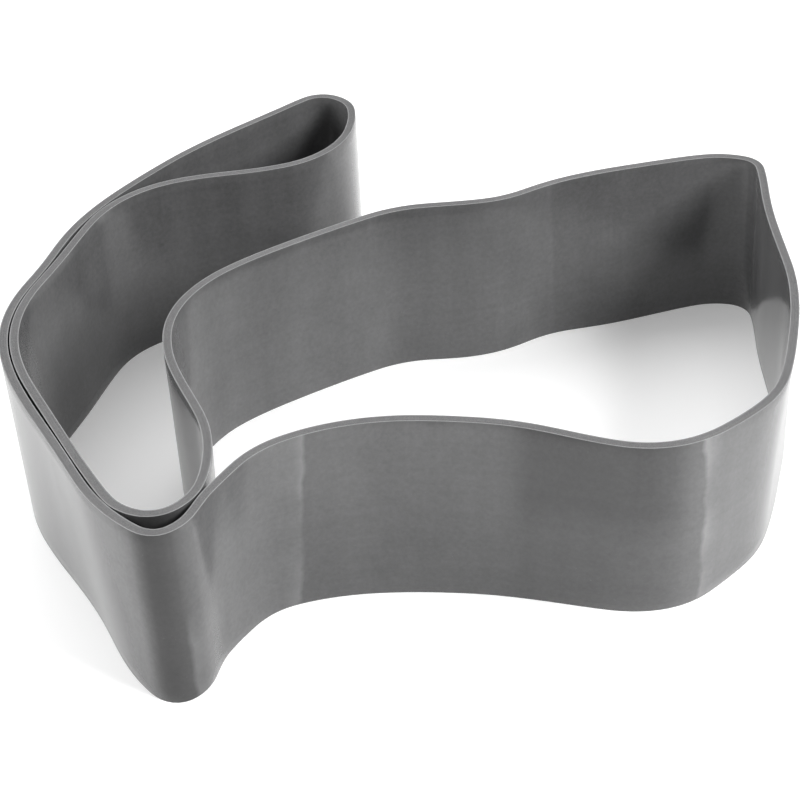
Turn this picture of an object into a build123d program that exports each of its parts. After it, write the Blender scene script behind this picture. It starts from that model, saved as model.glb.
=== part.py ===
"""Wide layered latex stretching band, lying in a loose figure on its cut edge.

The band is one endless loop: thin latex sheets wound round a mandrel, cured into one wall,
then slit to width.  Each sheet is one ply here, from the ply that the mandrel touched (01)
to the outermost (15).  Neighbouring plies share the same boundary, because they are bonded.

The left of the loop is doubled: the wall runs up the left side, turns in a narrow eye at the
back, comes down against itself, and turns again into the wide lobe on the right.
"""
from build123d import *
import os

# driving dimensions
LOOP_LENGTH = 2080.0    # round the loop, along its middle line
WIDTH = 101.0           # of the band, which is its height here
PLY_THICKNESS = 0.3     # one latex sheet
PLIES = 15
STRAIGHT = 0.001        # a curve that rises less than this over its chord is drawn as a line

# The middle line at the upper edge, clockwise from above: x, y, and how far the lower edge
# stands outside the loop there.  The solids stand upright half-way between the two edges.
FRONT_CORNER = [(-104, -193, 1), (-115, -197, 4), (-130, -188, 1)]
# the doubled side has a fourth value, the distance to the inner of its two walls
LEFT_SIDE = [
    (-145.5, -169.5, -3, 5.2), (-158, -147, -5, 5.2), (-171, -122, -4, 5.4), (-182.5, -100, -2, 5.8),
    (-196, -69, 0, 5.4), (-202.5, -38, 0, 5.4), (-199.5, -8, 0, 5.2), (-190, 20, 0, 5.4),
    (-181, 50, 0, 6.4), (-166.5, 80, 0, 5.4),
]
EYE = [
    (-147, 107, 0), (-120, 138, 0), (-86, 168, 0), (-62, 188, 0), (-44, 198, 0), (-30, 190, 0),
    (-25.5, 168, 0), (-32, 142, 0), (-50, 122, 0), (-79, 111.5, 0), (-112, 107, 2), (-140, 98, 3),
]
INNER_TURN = [(-131.5, -178.5, 0), (-114, -184.5, 0), (-100, -174.5, 2), (-94, -155, 4), (-95, -131, 3)]
BEND = [(-107, -95, 2), (-118.5, -60, 0), (-118, -33, 1), (-104, -3, 1)]
BACK_WALL = [
    (-75, 22, 0), (-33, 47, -1), (0, 61.5, -2), (32, 64.5, -3), (58, 68, 0), (81, 79.5, 0),
    (116, 92, -5), (160, 100.5, -1),
]
RIGHT_END = [
    (188, 101, 3), (200, 94, 5), (202, 78, 5), (199, 45, 5), (198, 10, 5), (197.5, -25, 3),
    (192, -60, -1), (183.5, -90, -2),
]
FRONT_WALL = [
    (170, -121, -4), (152, -138, -3), (130, -151, 0), (107, -155, 0), (80, -147.5, 2), (50, -134.5, 7),
    (14, -127, 8), (-18, -125.5, 8), (-49, -132, 4), (-73, -145.5, -1), (-86.5, -162.5, -2), (-95, -178.5, -3),
]


def outward(along):
    """The unit vector square to a clockwise line, pointing out of the loop."""
    return Vector(-along.Y, along.X).normalized()


def inner_side():
    """The inner wall of the doubled side, set in from the outer one, and walked back down."""
    line = [Vector(x, y) for x, y, *_ in [FRONT_CORNER[-1], *LEFT_SIDE, EYE[0]]]
    wall = []
    for before, here, after, (_, _, lean, gap) in zip(line, line[1:], line[2:], LEFT_SIDE):
        set_in = here - outward(after - before) * gap
        wall.append((set_in.X, set_in.Y, -lean))
    return wall[::-1]


def directions(points):
    """The direction of a smooth closed curve at each of its points."""
    curve = Edge.make_spline(points, periodic=True)
    return [curve.tangent_at(point) for point in points]


def middle_points():
    """Points on the wall's middle line, half-way up."""
    outer_side = [(x, y, lean) for x, y, lean, _ in LEFT_SIDE]
    outline = [
        *FRONT_CORNER, *outer_side, *EYE, *inner_side(), *INNER_TURN, *BEND, *BACK_WALL,
        *RIGHT_END, *FRONT_WALL,
    ]
    upper = [Vector(x, y) for x, y, _ in outline]
    leans = [lean for _, _, lean in outline]
    middle = [p + outward(t) * (lean / 2) for p, t, lean in zip(upper, directions(upper), leans)]
    curve = Edge.make_spline(middle, periodic=True)
    centre = curve.bounding_box().center()
    return [(p - centre) * (LOOP_LENGTH / curve.length) for p in middle]


def two_arcs(start, start_way, end, end_way):
    """The two arcs that leave one point and reach the next in their directions."""
    chord = end - start
    ways = start_way + end_way
    turn = 2 * (1 - start_way.dot(end_way))
    reach = (-chord.dot(ways) + (chord.dot(ways) ** 2 + turn * chord.dot(chord)) ** 0.5) / turn
    joint = (start + end + (start_way - end_way) * reach) * 0.5
    joint_way = (end - end_way * reach - start - start_way * reach).normalized()
    return [(start, start_way, joint, joint_way), (joint, joint_way, end, end_way)]


def middle_arcs():
    """Tangent arcs round the whole middle line: each one's ends and its directions there."""
    points = middle_points()
    ways = directions(points)
    arcs = []
    for i in range(len(points)):
        following = (i + 1) % len(points)
        arcs += two_arcs(points[i], ways[i], points[following], ways[following])
    return arcs


def offset_arc(start, start_way, end, end_way, distance):
    """One arc of the middle line, moved out of the loop by a distance, on the same centre."""
    middle_way = (start_way + end_way).normalized()
    chord = end - start
    rise = chord.length / 2 * (start_way.cross(end_way).Z / (2 + 2 * start_way.dot(end_way)))
    first = start + outward(start_way) * distance
    last = end + outward(end_way) * distance
    if abs(rise) < STRAIGHT:
        return Edge.make_line(first, last)
    crown = (start + end) * 0.5 + outward(middle_way) * (distance - rise)
    return Edge.make_three_point_arc(first, crown, last)


def make_plies():
    """Each sheet is the narrow ring between two neighbouring boundaries, drawn up to the width."""
    arcs = middle_arcs()
    distances = [(i - PLIES / 2) * PLY_THICKNESS for i in range(PLIES + 1)]
    boundaries = [Wire([offset_arc(*arc, distance) for arc in arcs]) for distance in distances]
    rings = [Face(outside, [inside]) for inside, outside in zip(boundaries, boundaries[1:])]
    return [Solid.extrude(ring, Vector(0, 0, WIDTH)) for ring in rings]


def main():
    os.makedirs("parts", exist_ok=True)
    for number, ply in enumerate(make_plies(), 1):
        export_step(Part() + ply, f"parts/ply_{number:02d}.step")


main()
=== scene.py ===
# %% [markdown]
# # A wide layered latex stretching band
#
# The real band is one endless loop of latex.  Thin sheets are wound round a mandrel, bonded
# and cured into one wall, and the wall is slit to width with a knife.  So it has a satin
# moulded face outside, a satin face inside, and matt cut edges on which every sheet shows as
# a fine line.  It is thrown down in a loose figure and stands on its lower cut edge.
#
# The CAD model holds the plies as upright solids.  Here each ply is swept again along the
# CAD model's own line, with the small lean, the waves and the knife marks of real rubber.

# %% Load the frame
import bpy
import bmesh
import math
import random
import numpy as np
from mathutils import Matrix, Vector


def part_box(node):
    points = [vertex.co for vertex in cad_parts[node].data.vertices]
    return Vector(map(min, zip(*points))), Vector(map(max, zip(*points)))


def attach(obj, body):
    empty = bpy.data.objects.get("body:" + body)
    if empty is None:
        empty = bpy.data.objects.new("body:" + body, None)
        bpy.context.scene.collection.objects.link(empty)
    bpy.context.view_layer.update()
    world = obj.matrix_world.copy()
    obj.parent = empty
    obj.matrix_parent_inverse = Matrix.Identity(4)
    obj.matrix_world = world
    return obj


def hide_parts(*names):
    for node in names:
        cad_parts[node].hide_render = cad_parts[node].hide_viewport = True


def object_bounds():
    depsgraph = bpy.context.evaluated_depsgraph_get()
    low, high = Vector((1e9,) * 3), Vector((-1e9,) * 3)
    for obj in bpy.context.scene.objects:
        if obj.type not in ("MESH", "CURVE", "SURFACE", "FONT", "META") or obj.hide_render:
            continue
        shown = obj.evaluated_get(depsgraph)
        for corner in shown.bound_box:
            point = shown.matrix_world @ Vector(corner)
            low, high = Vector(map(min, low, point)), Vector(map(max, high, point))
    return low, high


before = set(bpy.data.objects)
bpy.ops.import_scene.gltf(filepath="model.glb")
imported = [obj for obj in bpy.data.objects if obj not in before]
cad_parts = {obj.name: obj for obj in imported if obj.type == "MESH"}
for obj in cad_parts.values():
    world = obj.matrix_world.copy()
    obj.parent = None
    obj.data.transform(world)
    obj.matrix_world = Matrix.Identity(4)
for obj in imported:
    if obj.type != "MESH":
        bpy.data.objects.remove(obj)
cad_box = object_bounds()
plies = sorted(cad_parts)
print(len(plies), "plies, box", [round(v, 4) for corner in cad_box for v in corner])

# %% [markdown]
# The camera comes first, so that every later choice is judged through it.  It is a long lens
# from a little above, as a product is usually taken.  Building its matrix from three
# directions is clearer than three Euler angles, because each direction has a meaning.

# %% Camera
MM = 0.001
camera_aim = Vector((-6, 22, 0)) * MM
camera_distance = 1.0115
camera_elevation = math.radians(37.2)
camera_roll = math.radians(-2.8)
camera_lens = 80.76
camera_sensor = 36
camera_far_clip = 50


def linked(name, data):
    """A new object, linked to the scene."""
    piece = bpy.data.objects.new(name, data)
    bpy.context.scene.collection.objects.link(piece)
    return piece


def place_camera():
    forward = Vector((0, math.cos(camera_elevation), -math.sin(camera_elevation)))
    level_right = Vector((1, 0, 0))
    level_up = level_right.cross(forward)
    right = level_right * math.cos(camera_roll) + level_up * math.sin(camera_roll)
    up = right.cross(forward)
    camera = linked("camera", bpy.data.cameras.new("camera"))
    camera.data.lens = camera_lens
    camera.data.sensor_width = camera_sensor
    camera.data.clip_end = camera_far_clip
    turn = Matrix((right, up, -forward)).transposed().to_4x4()
    camera.matrix_world = Matrix.Translation(camera_aim - forward * camera_distance) @ turn
    bpy.context.scene.camera = camera
    return camera


print("camera at", [round(v, 3) for v in place_camera().matrix_world.translation])

# %% [markdown]
# ## The line of the loop
#
# The band's line is already in the CAD model, so it isn't drawn twice.  Each ply is a thin
# upright wall: its lower edge is two closed chains of short edges, one on each side.  Walking
# the outer chain of the middle ply gives the line in order.  It could be typed in again as a
# list of points, but then a change to the CAD model wouldn't reach this one.

# %% Walk the lower edge of a CAD ply
TINY = 1e-5
UPRIGHT_FACE = 0.5
middle_ply = plies[len(plies) // 2]


def lower_chains(node):
    """The closed chains of points along a node's lower edge, the longest first."""
    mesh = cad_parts[node].data
    shape = bmesh.new()
    shape.from_mesh(mesh)
    bmesh.ops.remove_doubles(shape, verts=shape.verts, dist=TINY)
    shape.normal_update()
    floor_edges = [
        e for e in shape.edges
        if all(abs(v.co.z) < TINY for v in e.verts)
        and any(abs(f.normal.z) < UPRIGHT_FACE for f in e.link_faces)
    ]
    neighbours = {}
    for e in floor_edges:
        a, b = e.verts
        neighbours.setdefault(a.index, []).append(b.index)
        neighbours.setdefault(b.index, []).append(a.index)
    points = {v.index: v.co.xy.copy() for v in shape.verts}
    shape.free()
    chains = []
    unseen = set(neighbours)
    while unseen:
        chain = [min(unseen)]
        unseen.discard(chain[0])
        while True:
            onward = [n for n in neighbours[chain[-1]] if n in unseen]
            if not onward:
                break
            chain.append(onward[0])
            unseen.discard(onward[0])
        chains.append(np.array([points[i] for i in chain]))
    return sorted(chains, key=chain_length, reverse=True)


def chain_length(chain):
    return np.linalg.norm(chain - np.roll(chain, -1, 0), axis=1).sum()


chains = lower_chains(middle_ply)
print("chains of", middle_ply, [(len(c), round(chain_length(c), 4)) for c in chains])

# %% [markdown]
# The chain has long steps on its straights and short ones in its bends.  It is spaced evenly
# and eased over a few millimetres, so that the facets of the CAD mesh don't show in the
# reflections.  Easing draws a bend inwards, so what it took away is given back.  The
# chain is the outer side of the middle ply, so the line moves in by half a ply.

# %% Space the line evenly and smooth it
BAND_THICKNESS = 4.5 * MM
STATION_GAP = 2.5 * MM
EASE = 2.8 * MM
BELL_END = 3


def spaced(chain, gap):
    closed = np.vstack([chain, chain[:1]])
    steps = np.concatenate([[0], np.cumsum(np.linalg.norm(np.diff(closed, axis=0), axis=1))])
    count = int(steps[-1] / gap)
    places = np.linspace(0, steps[-1], count, endpoint=False)
    return np.column_stack([np.interp(places, steps, closed[:, i]) for i in range(2)])


def eased(values, reach):
    """A closed row of values, each averaged with its neighbours under a bell curve."""
    last = math.ceil(BELL_END * reach)
    offsets = np.arange(-last, last + 1)
    weights = np.exp(-0.5 * (offsets / reach) ** 2)
    weights /= weights.sum()
    return sum(w * np.roll(values, -o, axis=0) for o, w in zip(offsets, weights))


def clockwise(line):
    after = np.roll(line, -1, 0)
    area = (line[:, 0] * after[:, 1] - after[:, 0] * line[:, 1]).sum()
    return line if area < 0 else line[::-1]


def outward_of(line):
    along = np.roll(line, -1, 0) - np.roll(line, 1, 0)
    normal = np.column_stack([-along[:, 1], along[:, 0]])
    return normal / np.linalg.norm(normal, axis=1)[:, None]


ply_thickness = BAND_THICKNESS / len(plies)
even = spaced(chains[0], STATION_GAP)
soft = eased(even, EASE / STATION_GAP)
line = clockwise(soft + (soft - eased(soft, EASE / STATION_GAP)))
line = line - outward_of(line) * ply_thickness / 2
outward = outward_of(line)
loop_length = chain_length(line)
print("stations", len(line), "round the loop", round(loop_length, 4), "m")

# %% [markdown]
# Rubber this tall doesn't stand quite upright.  Some stretches lean out of the loop at their
# foot and others lean in, by a few millimetres.  The lean is given at about fifty places round
# the loop, each as x, y and the whole lean from top to foot in millimetres, and it is eased
# between them.  Half of it goes to the foot and half, the other way, to the top, so the wall
# keeps its middle where the CAD model has it.

# %% How far the foot of the wall leans out
FOOT_LEANS = [
    (-115, -197, 4), (-130, -188, 1), (-145, -170, -3), (-158, -147, -5), (-171, -122, -4),
    (-182, -100, -2), (-196, -69, 0), (-166, 80, 0), (-44, 198, 0), (-79, 112, 0),
    (-112, 107, 2), (-140, 98, 3), (-161, 77, 0), (-191, -67, 0), (-177, -97, 2),
    (-166, -119, 4), (-153, -144, 5), (-141, -166, 3), (-131, -178, 0), (-114, -184, 0),
    (-100, -174, 2), (-94, -155, 4), (-95, -131, 3),
    (-107, -95, 2), (-118, -60, 0), (-104, -3, 1), (-75, 22, 0), (-33, 47, -1), (0, 61, -2),
    (32, 64, -3), (58, 68, 0), (81, 79, 0), (116, 92, -5), (160, 100, -1), (188, 101, 3),
    (200, 94, 5), (198, 10, 5), (197, -25, 3), (192, -60, -1), (170, -121, -4), (152, -138, -3),
    (130, -151, 0), (107, -155, 0), (80, -148, 2), (50, -135, 7), (14, -127, 8), (-18, -125, 8),
    (-49, -132, 4), (-73, -146, -1), (-87, -162, -2), (-95, -178, -3), (-104, -193, 1),
]
LEAN_EASE = 10.0 * MM


def eased_along(line, given):
    """Values given in millimetres at places round the loop, as a smooth value at each station."""
    places = []
    for x, y, amount in given:
        away = np.linalg.norm(line - np.array([x, y]) * MM, axis=1)
        places.append((int(away.argmin()), amount * MM))
    places.sort()
    indices, amounts = zip(*places)
    values = np.interp(np.arange(len(line)), indices, amounts, period=len(line))
    return eased(values, round(LEAN_EASE / STATION_GAP))


lean = eased_along(line, FOOT_LEANS)
print("lean from", round(lean.min() / MM, 1), "to", round(lean.max() / MM, 1), "mm")

# %% [markdown]
# Slack rubber needn't be straight from top to foot either.  The front wall is given a belly of
# two or three millimetres at half its height, and a few other stretches a slighter one, in or
# out.  The amounts are a choice: they bend the reflections a little and keep the wall from
# looking like sheet metal.

# %% How far the wall bellies out at half its height
BELLIES = [
    (197, -25, 0), (184, -90, -1.0), (160, -132, 0), (138, -148, 1.6), (107, -155, 2.8),
    (80, -148, 3.0), (50, -135, 3.0), (14, -127, 2.4), (-18, -125, 1.6), (-49, -132, 0.6),
    (-73, -146, -0.8), (-95, -178, 0), (-145, -170, 0), (-171, -122, 0), (-196, -69, 0),
    (-202, -38, 0), (-44, 198, 0), (-131, -178, 0), (-95, -131, 0), (-107, -30, 0),
    (-75, 22, -0.6), (0, 61, -0.8), (81, 79, 0), (160, 100, 0.6),
]
belly = eased_along(line, BELLIES)
print("bellies out by up to", round(belly.max() / MM, 1), "mm")

# %% [markdown]
# Slow waves run through the wall as well.  Down the doubled side the band lies beside itself,
# and a wave there could push one strand into the other.  So each station is given a room
# between 0 and 1: none when another strand is close, and all of it in the open.  Stations that
# are near each other along the band are the same strand and don't count.

# %% Room beside each station
CLOSE = 6.0 * MM
OPEN = 18.0 * MM
SAME_STRAND = 30.0 * MM
FAR_OFF = 1.0
ROOM_EASE = 2


def room_along(line):
    away = np.linalg.norm(line[:, None] - line[None], axis=2)
    numbers = np.arange(len(line))
    apart = np.abs(numbers[:, None] - numbers[None])
    apart = np.minimum(apart, len(line) - apart) * STATION_GAP
    nearest = np.where(apart > SAME_STRAND, away, FAR_OFF).min(1)
    return nearest, eased(np.clip((nearest - CLOSE) / (OPEN - CLOSE), 0, 1), ROOM_EASE)


nearest, room = room_along(line)
print("nearest strand", round(nearest.min() / MM, 2), "mm away, in the open", int(room.sum()))

# %% [markdown]
# Painted shade is known along the line too.  The outside of a tight bend is painted darker as
# painted shade, so each station gets one over its radius.
#
# Pale, slanting stripes with one crisp side are painted on: painted reflections of strip lights,
# and one painted highlight on the inner face of a corner.  Each stripe has its place, which way
# it fades, its slant from top to foot, its height and its strength, and a strength below zero
# puts it on the inner face.  Fainter stripes of the same kind follow at even steps round the
# loop.

# %% Bends and painted highlight stripes along the line
BEND_STEP = 2
BEND_EASE = 2


def bends_along(line, outward):
    """One over the radius, above zero where the outer face is the outside of the bend."""
    turn = np.roll(line, -BEND_STEP, 0) - 2 * line + np.roll(line, BEND_STEP, 0)
    curve = -(turn * outward).sum(1) / (BEND_STEP * STATION_GAP) ** 2
    return eased(curve, BEND_EASE)


WHOLE_HEIGHT = 120
# Painted reflections of strip lights as pale stripes; the last is a painted corner highlight.
PAINTED_HIGHLIGHT_STRIPES = [
    (-50, -133.5, 1, 11, WHOLE_HEIGHT, 1.0),
    (127.7, -150.9, -1, -4, WHOLE_HEIGHT, 1.0),
    (-109.2, -196.6, -1, 1, 52, 0.7),
    (203, 88, 1, 0, WHOLE_HEIGHT, -0.7),
]
# Fainter painted highlight stripes at even steps round the loop.
FAINT_HIGHLIGHT_STRIPES = 9
FAINT_STRIPE_SLANT = 6
FAINT_STRIPE_STRENGTHS = (0.15, 0.35)
HIGHLIGHT_STRIPE_GAP = 188 * MM

bend = bends_along(line, outward)
along = np.arange(len(line)) * loop_length / len(line)
print("tightest bend", round(1 / bend.max() / MM, 1), "mm")


# %% Each station's nearest painted highlight stripe
def place_along(x, y):
    """How far along the loop the station nearest to a place in millimetres is."""
    return along[np.linalg.norm(line - np.array([x, y]) * MM, axis=1).argmin()]


def gap_along(place):
    """The distance of every station past a place, the shorter way round."""
    half = loop_length / 2
    return (along - place + half) % loop_length - half


def all_highlight_stripes():
    marks = [(place_along(x, y), *rest) for x, y, *rest in PAINTED_HIGHLIGHT_STRIPES]
    chance = random.Random(5)
    for number in range(1, FAINT_HIGHLIGHT_STRIPES + 1):
        place = (marks[0][0] + number * HIGHLIGHT_STRIPE_GAP) % loop_length
        side = 1 if number % 2 else -1
        marks.append((place, chance.choice((-1, 1)), chance.uniform(-FAINT_STRIPE_SLANT, FAINT_STRIPE_SLANT),
                      WHOLE_HEIGHT, side * chance.uniform(*FAINT_STRIPE_STRENGTHS)))
    return marks


def highlight_stripe_values(marks):
    gaps = np.array([gap_along(mark[0]) for mark in marks])
    nearest = np.abs(gaps).argmin(0)
    ways, slants, tops, strengths = np.array([mark[1:] for mark in marks])[nearest].T
    return {
        "fold_away": gaps[nearest, np.arange(len(line))] * ways,
        "fold_slant": slants * MM * ways,
        "fold_top": tops * MM,
        "fold_strength": strengths,
    }


marks = all_highlight_stripes()
highlight_stripes = highlight_stripe_values(marks)
# Counts the painted highlight stripes.
print("fold marks", len(marks))

# %% [markdown]
# The outer face is also painted darker in two patches with soft ends, mostly towards the top:
# painted shade.  A patch is a place, how far it reaches each way in millimetres, and how much it
# darkens.

# %% Painted top shade along the line
# Painted shade: the outer face painted darker towards its top in two patches.
PAINTED_TOP_SHADE_PATCHES = [(82, -149, 46, 0.45), (-122, -194, 9, 0.42)]
SOFT_END = 0.35
TOP_SHADE_EASE = 2


def painted_top_shade_along():
    """How much painted top shade each station gets, between 0 and 1."""
    wiped = np.zeros(len(line))
    for x, y, reach, amount in PAINTED_TOP_SHADE_PATCHES:
        inside = (reach * MM - np.abs(gap_along(place_along(x, y)))) / (SOFT_END * reach * MM)
        wiped = np.maximum(wiped, amount * np.clip(inside, 0, 1))
    return eased(wiped, TOP_SHADE_EASE)


wiped = painted_top_shade_along()
# Painted shade: the stations where the outer face is painted darker towards its top.
print("stations with some bloom wiped off", int((wiped > 0.01).sum()))

# %% [markdown]
# ## Sweeping a ply
#
# A ply is one section carried round the whole loop: a tall thin strip with softened corners.
# That is work for Geometry Nodes.  The line and the section are two small objects, and the
# tree puts every point where its station, its distance from the middle line and its height
# say.  A Curve to Mesh node joins the rings, and the places are then set from attributes, so
# the result doesn't depend on how the node turns its section.

# %% The line and the section as small objects
def wire_object(name, points, attributes):
    """A closed chain of edges with named values at its points."""
    mesh = bpy.data.meshes.new(name)
    count = len(points)
    edges = [(i, (i + 1) % count) for i in range(count)]
    mesh.from_pydata([tuple(p) for p in points], edges, [])
    for label, (kind, values) in attributes.items():
        layer = mesh.attributes.new(label, kind, "POINT")
        field = "vector" if kind == "FLOAT_VECTOR" else "value"
        layer.data.foreach_set(field, np.asarray(values, np.float32).ravel())
    return bpy.data.objects.new(name, mesh)


flat = np.column_stack([line, np.zeros(len(line))])
loop_line = wire_object("loop_line", flat, {
    "station": ("FLOAT_VECTOR", flat),
    "outward": ("FLOAT_VECTOR", np.column_stack([outward, np.zeros(len(line))])),
    "lean": ("FLOAT", lean),
    "room": ("FLOAT", room),
    "belly": ("FLOAT", belly),
    "along": ("FLOAT", along),
    "bend": ("FLOAT", bend),
    "wiped": ("FLOAT", wiped),
    **{name: ("FLOAT", values) for name, values in highlight_stripes.items()},
})
print("line object with", len(loop_line.data.vertices), "points")

# %% [markdown]
# The section is a closed strip of 32 points.  Its rows crowd a little towards the two cut
# edges, and each corner is rounded with one extra point, which is enough for a corner with a
# radius of a twentieth of a millimetre.

# %% The section of one ply
PLY_CORNER = 0.05 * MM
FACE_ROWS = 9
band_width = cad_box[1].z - cad_box[0].z


def section_points(thickness, width, corner):
    """Across and up, round the strip, and whether each point belongs to a cut edge."""
    half = thickness / 2
    rows = np.linspace(0, 1, FACE_ROWS + 2)
    crowded = (1 - np.cos(rows * math.pi)) / 2
    heights = corner + (crowded + rows) / 2 * (width - 2 * corner)
    soft = corner * (1 - math.sqrt(0.5))
    up_outside = [(half, h, 0) for h in heights]
    over_top = [(half - soft, width - soft, 0.5), (half - corner, width, 1), (0, width, 1),
                (corner - half, width, 1), (soft - half, width - soft, 0.5)]
    down_inside = [(-half, h, 0) for h in heights[::-1]]
    under = [(soft - half, soft, 0.5), (corner - half, 0, 1), (0, 0, 1),
             (half - corner, 0, 1), (half - soft, soft, 0.5)]
    return up_outside + over_top + down_inside + under


def section_object(name, thickness, width, corner):
    points = section_points(thickness, width, corner)
    return wire_object(name, [(a, h, 0) for a, h, _ in points], {
        "across": ("FLOAT", [a for a, _, _ in points]),
        "height": ("FLOAT", [h for _, h, _ in points]),
        "cut": ("FLOAT", [c for _, _, c in points]),
    })


print("section of", len(section_points(ply_thickness, band_width, PLY_CORNER)), "points")

# %% [markdown]
# A node tree is easier to read as code when one helper adds a node and fills its inputs.  The
# same idea, with operators, serves the shaders later.

# %% A helper that adds nodes to a tree
class Wire:
    """An output socket that can be used in arithmetic: each operator adds a Math node."""

    def __init__(self, tree, socket):
        self.tree = tree
        self.socket = socket

    def math(self, operation, other, swapped=False):
        pair = (other, self) if swapped else (self, other)
        return self.tree.add("ShaderNodeMath", {"operation": operation}, dict(enumerate(pair)))

    def __add__(self, other):
        return self.math("ADD", other)

    def __sub__(self, other):
        return self.math("SUBTRACT", other)

    def __mul__(self, other):
        return self.math("MULTIPLY", other)

    def __truediv__(self, other):
        return self.math("DIVIDE", other)

    def __rsub__(self, other):
        return self.math("SUBTRACT", other, swapped=True)

    __radd__ = __add__
    __rmul__ = __mul__


class Tree:
    """Adds nodes to a shader, world or geometry tree."""

    def __init__(self, node_tree):
        self.nodes = node_tree.nodes
        self.links = node_tree.links

    def add(self, kind, settings=None, inputs=None, output=0):
        node = self.nodes.new(kind)
        for name, value in (settings or {}).items():
            if name == "stops":
                self.set_stops(node.color_ramp, value)
            else:
                setattr(node, name, value)
        for key, value in (inputs or {}).items():
            if isinstance(value, Wire):
                self.links.new(value.socket, node.inputs[key])
            else:
                node.inputs[key].default_value = value
        return Wire(self, node.outputs[output])

    def set_stops(self, ramp, stops):
        while len(ramp.elements) < len(stops):
            ramp.elements.new(1)
        for element, (place, level) in zip(ramp.elements, stops):
            element.position = place
            element.color = (level, level, level, 1)


print("helpers ready")

# %% [markdown]
# The tree for a ply.  Its inputs are the section, the ply's distance from the middle line, the
# band's width, the sizes of the waves and the knife marks, the tone of its cut edge and a seed
# for its knife marks.  The waves come from one slow noise that every ply shares, because bonded
# sheets move together.  The lower edge is left level, so that the band stands on it.

# %% Helpers for the Geometry Nodes tree
WAVES_PER_METRE = 14
KNIFE_MARKS_PER_METRE = 60
SHARED_SEED = 3.0


def new_interface(name, sockets):
    group = bpy.data.node_groups.new(name, "GeometryNodeTree")
    for label, kind in sockets:
        group.interface.new_socket(label, in_out="INPUT", socket_type=kind)
    group.interface.new_socket("Geometry", in_out="OUTPUT", socket_type="NodeSocketGeometry")
    return group


def attribute(tree, name, kind="FLOAT"):
    return tree.add("GeometryNodeInputNamedAttribute", {"data_type": kind}, {"Name": name})


def stored(tree, geometry, name, value):
    return tree.add("GeometryNodeStoreNamedAttribute", {"data_type": "FLOAT", "domain": "POINT"},
                    {"Geometry": geometry, "Name": name, "Value": value})


def vector_maths(tree, operation, a, b):
    return tree.add("ShaderNodeVectorMath", {"operation": operation}, {0: a, 1: b})


def scaled(tree, vector, factor):
    return tree.add("ShaderNodeVectorMath", {"operation": "SCALE"}, {0: vector, "Scale": factor})


def noise_between(tree, position, scale, detail, seed):
    """A slow noise between -1 and 1."""
    level = tree.add("ShaderNodeTexNoise", {"noise_dimensions": "4D"},
                     {"Vector": position, "W": seed, "Scale": scale, "Detail": detail})
    return level * 2 - 1


print("geometry helpers ready")


# %% The Geometry Nodes tree
def ply_tree():
    group = new_interface("swept_ply", [
        ("Geometry", "NodeSocketGeometry"), ("Section", "NodeSocketObject"),
        ("Distance", "NodeSocketFloat"), ("Width", "NodeSocketFloat"),
        ("Waves", "NodeSocketFloat"), ("Knife Marks", "NodeSocketFloat"),
        ("Tone", "NodeSocketFloat"), ("Seed", "NodeSocketFloat"),
        ("Material", "NodeSocketMaterial"),
    ])
    tree = Tree(group)
    given = tree.nodes.new("NodeGroupInput")
    entry = {socket.name: Wire(tree, socket) for socket in given.outputs if socket.name}
    section = tree.add("GeometryNodeObjectInfo", {}, {"Object": entry["Section"]}, "Geometry")
    rail = tree.add("GeometryNodeMeshToCurve", {}, {"Mesh": entry["Geometry"]})
    profile = tree.add("GeometryNodeMeshToCurve", {}, {"Mesh": section})
    skin = tree.add("GeometryNodeCurveToMesh", {}, {"Curve": rail, "Profile Curve": profile})

    station = attribute(tree, "station", "FLOAT_VECTOR")
    out_way = attribute(tree, "outward", "FLOAT_VECTOR")
    height = attribute(tree, "height")
    across = attribute(tree, "across")
    cut = attribute(tree, "cut")
    upright = tree.add("ShaderNodeCombineXYZ", {}, {"Z": height})
    place = vector_maths(tree, "ADD", station, upright)
    waves = noise_between(tree, place, WAVES_PER_METRE, 1.0, SHARED_SEED)
    waves = waves * entry["Waves"] * attribute(tree, "room")
    share = height / entry["Width"]
    leaning = attribute(tree, "lean") * (0.5 - share)
    bellied = attribute(tree, "belly") * share * (1 - share) * 4
    reach = entry["Distance"] + across + leaning + bellied + waves
    knife = noise_between(tree, station, KNIFE_MARKS_PER_METRE, 2.0, entry["Seed"])
    knife = knife * entry["Knife Marks"] * cut
    above = tree.add("ShaderNodeMath", {"operation": "GREATER_THAN"},
                     {0: height, 1: entry["Width"] * 0.5})
    lift = tree.add("ShaderNodeCombineXYZ", {}, {"Z": height + knife * above})
    spot = vector_maths(tree, "ADD", station, scaled(tree, out_way, reach))
    spot = vector_maths(tree, "ADD", spot, lift)
    skin = tree.add("GeometryNodeSetPosition", {}, {"Geometry": skin, "Position": spot})
    skin = stored(tree, skin, "depth", entry["Distance"] + across)
    skin = stored(tree, skin, "tone", entry["Tone"])
    skin = tree.add("GeometryNodeSetShadeSmooth", {}, {"Geometry": skin})
    skin = tree.add("GeometryNodeRealizeInstances", {}, {"Geometry": skin})
    skin = tree.add("GeometryNodeSetMaterial", {},
                    {"Geometry": skin, "Material": entry["Material"]})
    last = tree.nodes.new("NodeGroupOutput")
    tree.links.new(skin.socket, last.inputs["Geometry"])
    return group


sweep = ply_tree()
print("tree with", len(sweep.nodes), "nodes")

# %% [markdown]
# ## The finish
#
# One latex serves all the plies, because they are cut from the same sheet.  What differs is
# where the light falls: the two broad faces are satin from the mould and the mandrel, and the
# cut edges are matt, paler and streaked along the cut.  The `cut` value that came with the
# section says which is which, so one material can hold both and blend at the corner.
#
# The shader needs a few kinds of node again and again: a noise, a ramp and a named value.  They
# are methods here, and each takes only what changes from one use to the next.

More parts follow.
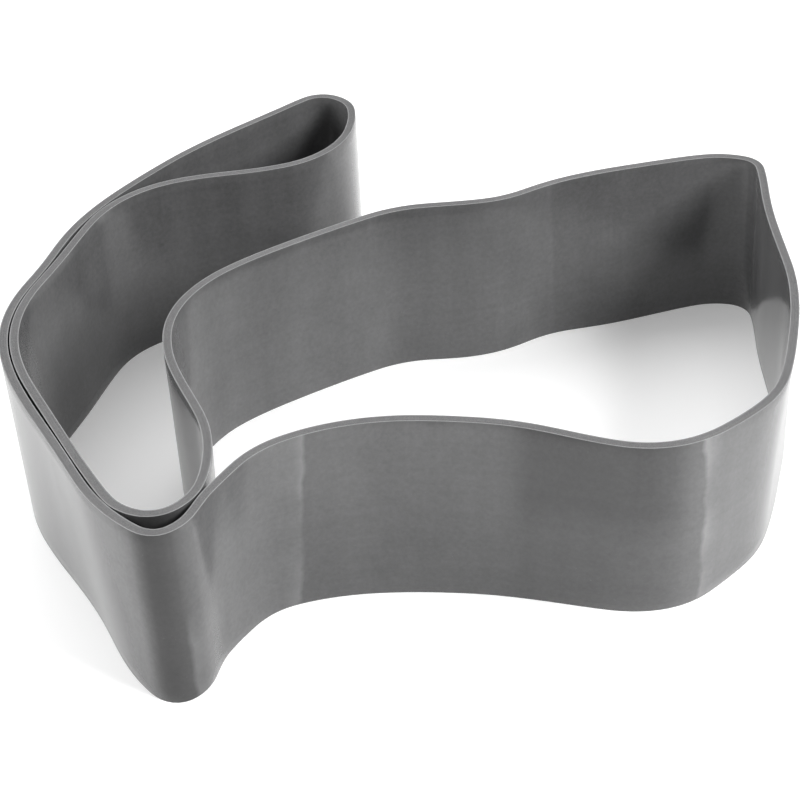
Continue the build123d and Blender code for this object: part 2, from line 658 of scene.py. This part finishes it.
# %% Helpers for the shaders
class ShaderTree(Tree):
    def __init__(self, material):
        material.use_nodes = True
        material.node_tree.nodes.clear()
        super().__init__(material.node_tree)

    def place(self):
        return self.add("ShaderNodeTexCoord", {}, {}, "Object")

    def noise(self, vector, scale, detail=2.0, roughness=0.5):
        return self.add("ShaderNodeTexNoise", {}, {
            "Vector": vector, "Scale": scale, "Detail": detail, "Roughness": roughness,
        })

    def ramp(self, level, *stops):
        return self.add("ShaderNodeValToRGB", {"stops": stops}, {"Fac": level})

    def value(self, name):
        return self.add("ShaderNodeAttribute", {"attribute_name": name}, {}, "Fac")

    def stretched(self, x, y):
        return self.add("ShaderNodeCombineXYZ", {}, {"X": x, "Y": y})

    def compare(self, operation, value, limit):
        return self.add("ShaderNodeMath", {"operation": operation}, {0: value, 1: limit})

    def surface(self, inputs):
        shader = self.add("ShaderNodeBsdfPrincipled", {}, inputs)
        out = self.nodes.new("ShaderNodeOutputMaterial")
        self.links.new(shader.socket, out.inputs["Surface"])


print("shader helpers ready")

# %% [markdown]
# Latex isn't one flat grey.  It is mottled where the compound mixed, it carries faint lines
# along the sheet, and it is wiped in soft upright drapes.  The cut edge has streaks along the
# cut and coarse flecks.  Each of these is a noise.  The ones that follow the sheet or the cut
# are stretched along it, which takes the `along`, `height` and `depth` values that the
# sweep stored: plain coordinates couldn't follow the bends.

# %% The patterns in the latex
def latex_patterns(tree, place):
    along, height, depth = (tree.value(name) for name in ("along", "height", "depth"))
    return {
        "mottle": tree.noise(place, 38, 4, 0.6),
        "cloud": tree.noise(place, 7),
        "lines": tree.noise(tree.stretched(along * 3, height * 260), 1),
        "drapes": tree.noise(tree.stretched(along * 45, height * 3), 1, 3),
        "fine": tree.noise(place, 420, 3, 0.65),
        "grain": tree.noise(place, 2600),
        "streaks": tree.noise(tree.stretched(along * 14, depth * 2600), 1, 4, 0.65),
        "fleck": tree.noise(place, 1500, 3, 0.7),
    }


def varied(level, pattern, amounts):
    """A level with some of each pattern added, evenly above and below it."""
    return sum(((pattern[name] - 0.5) * amount for name, amount in amounts.items()), level)


print("eight patterns")

# %% [markdown]
# The painted light goes on in three layers, and real talc in a fourth.  The outside of a tight
# bend is painted darker as painted shade, the outer face is painted darker towards its top in two
# patches as painted shade, and the highlight stripes are painted pale as painted highlights.  A
# dusting of talc stays in patches.  Every border is made ragged by a noise, so none has a ruled
# edge.

# %% Painted shade, painted highlights and talc on the faces
HIGHLIGHT_STRIPE_WIDTH = 0.026
HIGHLIGHT_STRIPE_TOP_FADE = 0.02
# Painted shade: how strongly the outside of a tight bend is painted darker.
BEND_SHADE_PER_CURVE = 0.014
TALC = 0.12


def latex_dust(tree, place):
    specks = tree.ramp(tree.noise(place, 900, 3, 0.7), (0.66, 0), (0.80, 1))
    patches = tree.ramp(tree.noise(place, 16, 3), (0.45, 0), (0.75, 1))
    return specks * patches * TALC


# Painted highlight: a pale stripe with one crisp side, fading out at its top.
def painted_highlight_stripe(tree, place, height, side):
    ragged = (tree.noise(place, 150) - 0.5) * 0.0022 + (tree.noise(place, 40) - 0.5) * 0.008
    slanted = tree.value("fold_slant") * (1 - height / band_width)
    across = (tree.value("fold_away") - slanted + ragged) / HIGHLIGHT_STRIPE_WIDTH
    mark = tree.ramp(across, (0, 0), (0.09, 1), (0.22, 0.55), (0.42, 0.2), (1, 0))
    below_top = tree.ramp((tree.value("fold_top") - height) / HIGHLIGHT_STRIPE_TOP_FADE, (0, 0), (1, 1))
    this_side = tree.compare("MAXIMUM", tree.value("fold_strength") * side, 0.0)
    patchy = tree.ramp(tree.noise(place, 24), (0.30, 0.25), (0.62, 1))
    return mark * below_top * this_side * patchy


def latex_painted_shade_and_highlights(tree, place):
    """Painted bend shade, painted top shade and painted highlight stripes, each between 0 and 1.
    """
    height = tree.value("height")
    outer = tree.compare("GREATER_THAN", tree.value("depth"), 0.0)
    side = outer * 2 - 1
    # Painted shade, darker on the outside of tight bends.
    painted_bend_shade = tree.ramp(tree.value("bend") * side * BEND_SHADE_PER_CURVE, (0.40, 0), (0.90, 1))
    uneven_height = height / band_width + (tree.noise(place, 20, 3) - 0.5) * 0.25
    # Painted shade, darker towards the top of the outer face.
    darker_to_top = tree.ramp(uneven_height, (0.42, 0.35), (0.62, 1))
    wiped = tree.value("wiped") * darker_to_top * outer
    return painted_bend_shade, wiped, painted_highlight_stripe(tree, place, height, side)


print("wear ready")

# %% [markdown]
# The faces are nearly as smooth as the mould, so they mirror the white table and each other
# softly, and a low wall shows pale and dark shapes from that.  The bend shade, the top shade and
# the highlight stripes are painted on as well.  The cut edge is rough, and its tone comes from
# the ply, so each sheet can show as a line of its own, with a painted highlight on the outermost
# ones.
# A mix of two plain numbers is written a + (b - a) * share.

# %% The latex material
FACE_LEVEL = 0.087
FACE_VARIETY = {"mottle": 0.030, "cloud": 0.024, "lines": 0.012, "drapes": 0.040, "fine": 0.040}
CUT_LEVEL = 0.130
CUT_VARIETY = {"streaks": 0.10, "fleck": 0.16}
# How much darker the painted bend shade makes a face.
BEND_SHADE_DARKER = 0.62
# How much paler a painted highlight stripe makes a face.
HIGHLIGHT_STRIPE_PALER = 0.095
BLUE_LEAN = 1.012
FACE_ROUGHNESS = 0.185
ROUGH_VARIETY = {"drapes": 0.05, "mottle": 0.04}
CUT_ROUGHNESS = 0.62
BUMP = {"Strength": 0.25, "Distance": 0.0002}
LATEX_IOR = 1.48


def mixed(a, b, share):
    return a + (b - a) * share


def latex_material():
    material = bpy.data.materials.new("grey_latex")
    tree = ShaderTree(material)
    place = tree.place()
    cut = tree.value("cut")
    pattern = latex_patterns(tree, place)
    painted_bend_shade, wiped, highlight_stripe = latex_painted_shade_and_highlights(tree, place)

    face_level = varied(FACE_LEVEL, pattern, FACE_VARIETY)
    # Painted shade darkens the bends and the top of the outer face; painted highlight stripes
    # lighten it.
    face_level = face_level * (1 - painted_bend_shade * BEND_SHADE_DARKER) * (1 - wiped) + highlight_stripe * HIGHLIGHT_STRIPE_PALER
    cut_level = varied(CUT_LEVEL * tree.value("tone"), pattern, CUT_VARIETY)
    level = mixed(face_level, cut_level, cut) + latex_dust(tree, place) * (1 - cut)
    colour = tree.add("ShaderNodeCombineColor", {}, {0: level, 1: level, 2: level * BLUE_LEAN})

    roughness = mixed(varied(FACE_ROUGHNESS, pattern, ROUGH_VARIETY), CUT_ROUGHNESS, cut)
    face_bump = pattern["grain"] * 0.35 + pattern["mottle"] * 0.5 + pattern["lines"] * 0.12
    cut_bump = pattern["streaks"] * 1.2 + pattern["fleck"] * 0.8
    height = mixed(face_bump, cut_bump, cut)
    normal = tree.add("ShaderNodeBump", {}, {"Height": height, **BUMP})
    tree.surface({
        "Base Color": colour, "Roughness": roughness, "Normal": normal, "IOR": LATEX_IOR,
    })
    return material


latex = latex_material()
print("material with", len(latex.node_tree.nodes), "nodes")

# %% [markdown]
# ## Making the fifteen plies
#
# The outermost sheets of the cut edge are painted paler, a painted highlight where the knife's
# small burr would catch the light.  The sheets between are a little darker, and no two are quite
# the same.
#
# Every ply gets the same modifier with its own inputs.  The result is read back as a plain
# mesh, and the helper objects are removed, so that only the finished piece is left.  A sweep
# can come out inside out, so its volume is measured and its faces are turned if need be.

# %% Sweep every ply and turn it into a plain mesh
WAVES = 0.6 * MM
KNIFE_MARKS = 0.05 * MM
# Painted highlight: the cut edge of the two outermost plies on each face is painted paler.
PAINTED_EDGE_HIGHLIGHTS = {0: 2.1, 1: 1.35}
CORE_TONE = 0.92
TONE_SPREAD = (0.94, 1.06)
random.seed(11)


def set_inputs(modifier, values):
    """Fills a modifier's inputs, which are known by their identifiers and not their names."""
    for item in modifier.node_group.interface.items_tree:
        if item.in_out == "INPUT" and item.name in values:
            modifier[item.identifier] = values[item.name]


# The outermost plies get the painted edge highlight; the others differ at random.
def ply_tone(number):
    from_face = min(number, len(plies) - 1 - number)
    return PAINTED_EDGE_HIGHLIGHTS.get(from_face, CORE_TONE) * random.uniform(*TONE_SPREAD)


def sweep_ply(number, node):
    low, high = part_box(node)
    distance = (number - (len(plies) - 1) / 2) * ply_thickness
    section = section_object(node + "_section", ply_thickness, high.z - low.z, PLY_CORNER)
    bpy.context.scene.collection.objects.link(section)
    maker = linked(node + "_maker", loop_line.data)
    modifier = maker.modifiers.new("sweep", "NODES")
    modifier.node_group = sweep
    set_inputs(modifier, {
        "Section": section, "Distance": distance, "Width": high.z - low.z, "Waves": WAVES,
        "Knife Marks": KNIFE_MARKS, "Tone": ply_tone(number), "Seed": float(number),
        "Material": latex,
    })
    graph = bpy.context.evaluated_depsgraph_get()
    mesh = bpy.data.meshes.new_from_object(maker.evaluated_get(graph))
    bpy.data.objects.remove(maker)
    bpy.data.objects.remove(section)
    return mesh


def facing_out(mesh):
    """Turns a closed mesh's faces outwards if its volume says that they point in."""
    shape = bmesh.new()
    shape.from_mesh(mesh)
    if shape.calc_volume(signed=True) < 0:
        bmesh.ops.reverse_faces(shape, faces=shape.faces)
    volume = shape.calc_volume(signed=True)
    open_edges = sum(1 for e in shape.edges if len(e.link_faces) != 2)
    shape.to_mesh(mesh)
    shape.free()
    return volume, open_edges


for number, node in enumerate(plies):
    mesh = sweep_ply(number, node)
    volume, open_edges = facing_out(mesh)
    piece = linked(node + "_latex", mesh)
    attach(piece, "root")
    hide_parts(node)
    if number in (0, len(plies) - 1):
        cubic_cm = round(volume / (10 * MM) ** 3, 2)
        print(piece.name, len(mesh.polygons), "faces", cubic_cm, "cm3, open", open_edges)

# %% [markdown]
# ## Floor and light
#
# A product like this is taken on a white table of translucent acrylic with lamps under it.  So
# the table gives a little light of its own, and more of it farther out, where it has to meet a
# white background.  It isn't attached to the band's body, so it is seen in a render and isn't
# part of the object.

# %% Floor
TABLE_REACH = 40
TABLE_DROP = 0.2 * MM
TABLE_FADE = 5
TABLE_GLOW = ((0.16, 0.22), (0.60, 0.85))


def table_material():
    material = bpy.data.materials.new("white_table")
    tree = ShaderTree(material)
    away = tree.add("ShaderNodeVectorMath", {"operation": "LENGTH"}, {0: tree.place()}, "Value")
    tree.surface({
        "Base Color": (0.9, 0.9, 0.9, 1), "Roughness": 0.6,
        "Emission Color": tree.ramp(away / TABLE_FADE, *TABLE_GLOW), "Emission Strength": 1.0,
    })
    return material


def make_floor():
    mesh = bpy.data.meshes.new("floor")
    corners = [(x * TABLE_REACH, y * TABLE_REACH, 0)
               for x, y in ((-1, -1), (1, -1), (1, 1), (-1, 1))]
    mesh.from_pydata(corners, [], [(0, 1, 2, 3)])
    mesh.materials.append(table_material())
    floor = linked("floor", mesh)
    floor.location.z = cad_box[0].z - TABLE_DROP


make_floor()
print("floor laid", TABLE_REACH, "m each way")

# %% [markdown]
# Three large soft boxes stand round the table: one at each side and one overhead behind, and
# the camera's side is left dark.  That gives the bright rims where the wall turns away and the
# darker middle where it faces the lens.  Each light is given as its place, its size and its
# power, and is turned towards the middle of the band.
#
# The world is a pale, even surround.  Colour is displayed with the Standard transform, which
# shows a white table as white: the filmic ones would turn it grey.

# %% Lights
BAND_MIDDLE = (0, 0, 0.05)
WORLD_STRENGTH = 0.30


def soft_box(name, where, size, power):
    lamp = bpy.data.lights.new(name, "AREA")
    lamp.shape = "RECTANGLE"
    lamp.size, lamp.size_y = size
    lamp.energy = power
    box = linked(name, lamp)
    box.location = where
    towards = Vector(BAND_MIDDLE) - Vector(where)
    box.rotation_euler = towards.to_track_quat("-Z", "Y").to_euler()


soft_box("right_key", (1.26, -0.72, 1.08), (0.7, 0.7), 42)
soft_box("left_box", (-1.55, -0.10, 0.75), (0.9, 0.9), 27)
soft_box("overhead_box", (-0.1, 0.9, 1.6), (1.6, 1.2), 16)


def make_world():
    world = bpy.data.worlds.new("studio")
    world.use_nodes = True
    world.node_tree.nodes.clear()
    tree = Tree(world.node_tree)
    white = {"Color": (1, 1, 1, 1), "Strength": WORLD_STRENGTH}
    backdrop = tree.add("ShaderNodeBackground", {}, white)
    out = tree.nodes.new("ShaderNodeOutputWorld")
    tree.links.new(backdrop.socket, out.inputs["Surface"])
    bpy.context.scene.world = world


make_world()
bpy.context.scene.view_settings.view_transform = "Standard"
print("three soft boxes and a pale surround")
